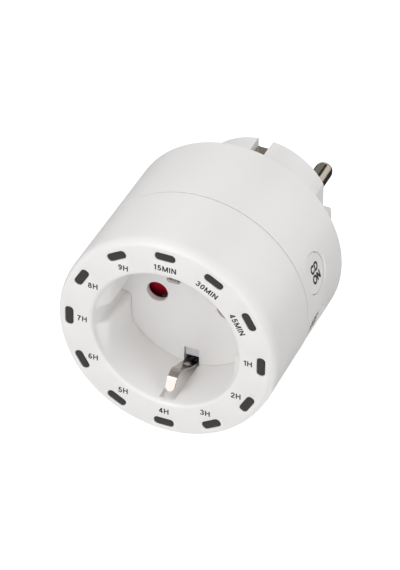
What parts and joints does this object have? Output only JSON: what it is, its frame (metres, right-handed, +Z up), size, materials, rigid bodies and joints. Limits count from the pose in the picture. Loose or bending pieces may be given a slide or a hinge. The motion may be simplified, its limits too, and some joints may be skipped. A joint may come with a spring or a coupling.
{
  "type": "plug in timer switch",
  "caption": "Round plug-in countdown timer with a recessed, shuttered, earthed socket ringed by light windows on the front, an earthed plug on the back and push buttons on its side.",
  "frame": {"origin": "centre of the plug's engagement face, which the two pins stand on", "axes": "+Y along the pins into the wall outlet, +Z up, +X to the right seen from the socket side"},
  "size_m": [0.0582, 0.084, 0.058],
  "materials": {
    "white_plastic": "satin white housing plastic",
    "button_plastic": "satin white plastic",
    "smoked_lens": "smoked, semi-gloss",
    "black_plastic": "matt black",
    "shutter_red": "satin dark red",
    "carrier_plastic": "matt pale blue-grey",
    "circuit_board": "green solder mask",
    "led_white": "white package",
    "ribbon_grey": "soft grey insulation",
    "spring_steel": "bright wire",
    "contact_brass": "bright pressed strip",
    "nickel_plate": "satin nickel plate",
    "screw_zinc": "zinc plated",
    "relay_case": "blue moulded case",
    "film_case": "yellow moulded case",
    "can_aluminium": "drawn can",
    "varistor_coat": "dipped coating",
    "chip_black": "moulded black package"
  },
  "bodies": {
    "housing": {"front_shell": "white_plastic", "rear_shell": "white_plastic", "socket_floor": "white_plastic", "lens_ring": "smoked_lens", "light_baffle": "black_plastic", "led_board": "circuit_board", "leds": "led_white", "led_ribbon": "ribbon_grey", "shutter_spring": "spring_steel", "contact_carrier": "carrier_plastic", "live_contact": "contact_brass", "neutral_contact": "contact_brass", "live_busbar": "contact_brass", "live_link": "contact_brass", "neutral_link": "contact_brass", "earth_strip_upper": "nickel_plate", "earth_strip_lower": "nickel_plate", "earth_ring": "nickel_plate", "plug_pin_left": "nickel_plate", "plug_pin_right": "nickel_plate", "pin_retainer": "black_plastic", "retainer_screws": "screw_zinc", "housing_screws": "screw_zinc", "main_board": "circuit_board", "relay": "relay_case", "film_capacitor": "film_case", "electrolytic_capacitor": "can_aluminium", "rectifier": "chip_black", "microcontroller": "chip_black", "fuse": "chip_black", "varistor": "varistor_coat", "resistors": "chip_black", "tact_switch_upper": "chip_black", "tact_switch_lower": "chip_black"},
    "shutter": {"shutter": "shutter_red"},
    "on_button": {"on_button": "button_plastic", "tact_plunger_upper": "black_plastic"},
    "off_button": {"off_button": "button_plastic", "tact_plunger_lower": "black_plastic"},
    "earth_clip_upper": {"earth_clip_upper": "nickel_plate"},
    "earth_clip_lower": {"earth_clip_lower": "nickel_plate"}
  },
  "joints": [
    {"name": "shutter_turn", "type": "hinge", "parent": "housing", "child": "shutter", "pos_m": [0, -0.044, 0], "axis": [0, 1, 0], "range_deg": [0, 36], "stiffness_Nm_per_rad": 0.002, "springref_deg": -20.05, "deforming": ["shutter_spring"]},
    {"name": "on_press", "type": "slide", "parent": "housing", "child": "on_button", "axis": [-0.9613, 0, -0.2756], "range_m": [0, 0.0005], "stiffness_N_per_m": 2000, "springref_m": -0.0005},
    {"name": "off_press", "type": "slide", "parent": "housing", "child": "off_button", "axis": [-0.9613, 0, 0.2756], "range_m": [0, 0.0005], "stiffness_N_per_m": 2000, "springref_m": -0.0005},
    {"name": "upper_clip_flex", "type": "hinge", "parent": "housing", "child": "earth_clip_upper", "pos_m": [0, -0.041, 0.01935], "axis": [-1, 0, 0], "range_deg": [0, 6], "stiffness_Nm_per_rad": 0.85, "springref_deg": -0.57},
    {"name": "lower_clip_flex", "type": "hinge", "parent": "housing", "child": "earth_clip_lower", "pos_m": [0, -0.041, -0.01935], "axis": [1, 0, 0], "range_deg": [0, 6], "stiffness_Nm_per_rad": 0.85, "springref_deg": -0.57}
  ]
}
